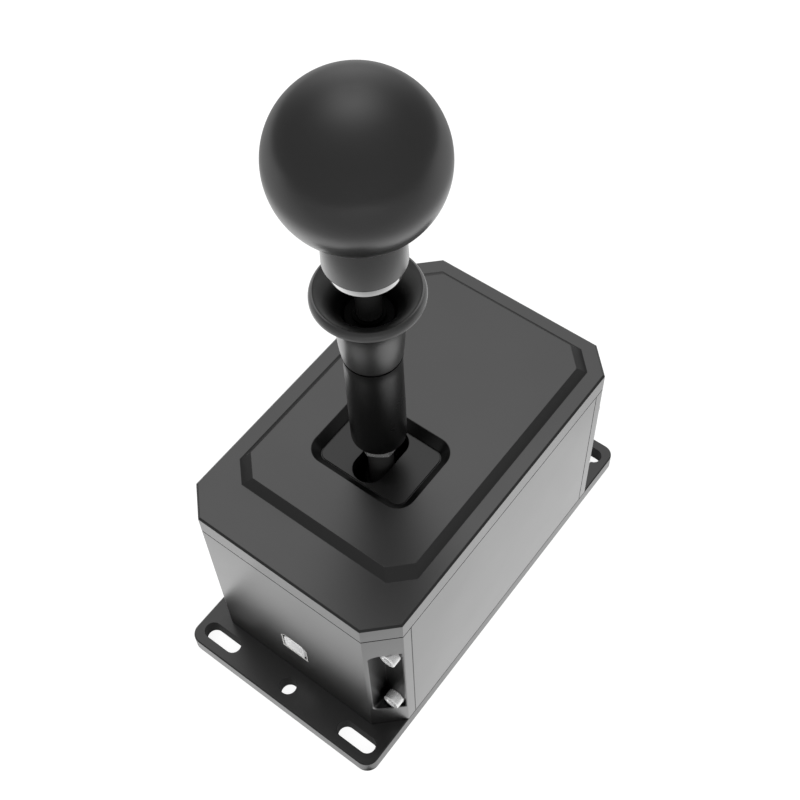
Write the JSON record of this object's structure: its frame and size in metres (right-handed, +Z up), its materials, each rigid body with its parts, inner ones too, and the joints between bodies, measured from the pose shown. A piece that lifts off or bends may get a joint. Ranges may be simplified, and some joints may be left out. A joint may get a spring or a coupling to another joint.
{
  "type": "racing simulator gear shifter",
  "caption": "Free-standing sequential gear shifter: metal box on a slotted base plate, bevelled cover with a sunken slotted gate, and a rocking lever with flared lift collar and ball knob.",
  "frame": {"origin": "centre of the base plate's underside", "axes": "+Z up, +Y towards the end with the USB socket, the lever rocks about an axis along X"},
  "size_m": [0.09, 0.1706, 0.2622],
  "materials": {
    "housing_black": "satin black anodised",
    "base_black": "satin black anodised",
    "cover_black": "fine matte black anodised",
    "gate_black": "fine matte black anodised",
    "screw_steel": "bright zinc",
    "bright_steel": "turned",
    "chrome_trim": "polished",
    "lever_black": "gloss black anodised, turned",
    "neck_satin": "satin anodised",
    "knob_black": "satin black",
    "brass_fit": "turned",
    "bronze_bush": "sintered",
    "hub_alloy": "milled",
    "bearing_steel": "ground",
    "slider_plastic": "milled acetal",
    "spring_steel": "drawn wire",
    "buffer_rubber": "matte",
    "magnet_nickel": "nickel plated",
    "board_green": "solder mask",
    "chip_black": "moulded",
    "connector_white": "moulded",
    "ribbon_grey": "flexible",
    "usb_nickel": "nickel plated sheet",
    "usb_plastic": "moulded"
  },
  "bodies": {
    "housing": {"base_plate": "base_black", "rear_end_block": "housing_black", "front_end_block": "housing_black", "left_side_plate": "housing_black", "right_side_plate": "housing_black", "top_cover": "cover_black", "gate_plate": "gate_black", "end_screws": "screw_steel", "tie_screws": "screw_steel", "side_screws": "screw_steel", "stop_screws": "screw_steel", "gate_screws": "screw_steel", "outer_races": "bearing_steel", "bearing_balls": "bearing_steel", "guide_rods": "bright_steel", "front_springs": "spring_steel", "rear_springs": "spring_steel", "spring_collars": "hub_alloy", "collar_set_screws": "screw_steel", "front_stop_post": "hub_alloy", "rear_stop_post": "hub_alloy", "stop_buffers": "buffer_rubber", "sensor_board": "board_green", "sensor_chip": "chip_black", "sensor_spacers": "brass_fit", "sensor_screws": "screw_steel", "sensor_ribbon": "ribbon_grey", "usb_shell": "usb_nickel", "usb_tongue": "usb_plastic", "circuit_board": "board_green", "board_chip": "chip_black", "board_connector": "connector_white", "board_spacers": "brass_fit", "board_screws": "screw_steel"},
    "lever": {"lever_hub": "hub_alloy", "hub_set_screws": "screw_steel", "pivot_shaft": "bright_steel", "pivot_spacers": "hub_alloy", "inner_races": "bearing_steel", "drive_roller": "bearing_steel", "roller_pin": "bright_steel", "lever_shaft": "bright_steel", "lock_nut": "chrome_trim", "lever_sleeve": "lever_black", "collar_spring": "spring_steel", "spring_washer": "bright_steel", "retaining_ring": "bright_steel", "knob_ball": "knob_black", "knob_neck": "neck_satin", "knob_ring": "chrome_trim", "knob_insert": "brass_fit"},
    "collar": {"lift_collar": "lever_black", "collar_bush": "bronze_bush"},
    "slider": {"centring_slider": "slider_plastic", "slider_bushes": "bronze_bush", "slider_magnet": "magnet_nickel"}
  },
  "joints": [
    {"name": "lever_tilt", "type": "hinge", "parent": "housing", "child": "lever", "pos_m": [0, 0.014, 0.043], "axis": [1, 0, 0], "range_deg": [-8.5, 8.5], "stiffness_Nm_per_rad": 33},
    {"name": "slider_slide", "type": "slide", "parent": "housing", "child": "slider", "axis": [0, 1, 0], "range_m": [-0.0033, 0.0033], "deforming": ["front_springs", "rear_springs"]},
    {"name": "collar_lift", "type": "slide", "parent": "lever", "child": "collar", "axis": [0, 0, 1], "range_m": [0, 0.006], "stiffness_N_per_m": 1000, "springref_m": -0.004, "deforming": ["collar_spring"]}
  ],
  "couplings": [
    {"joint": "slider_slide", "follows": "lever_tilt", "m_per_rad": 0.022}
  ]
}
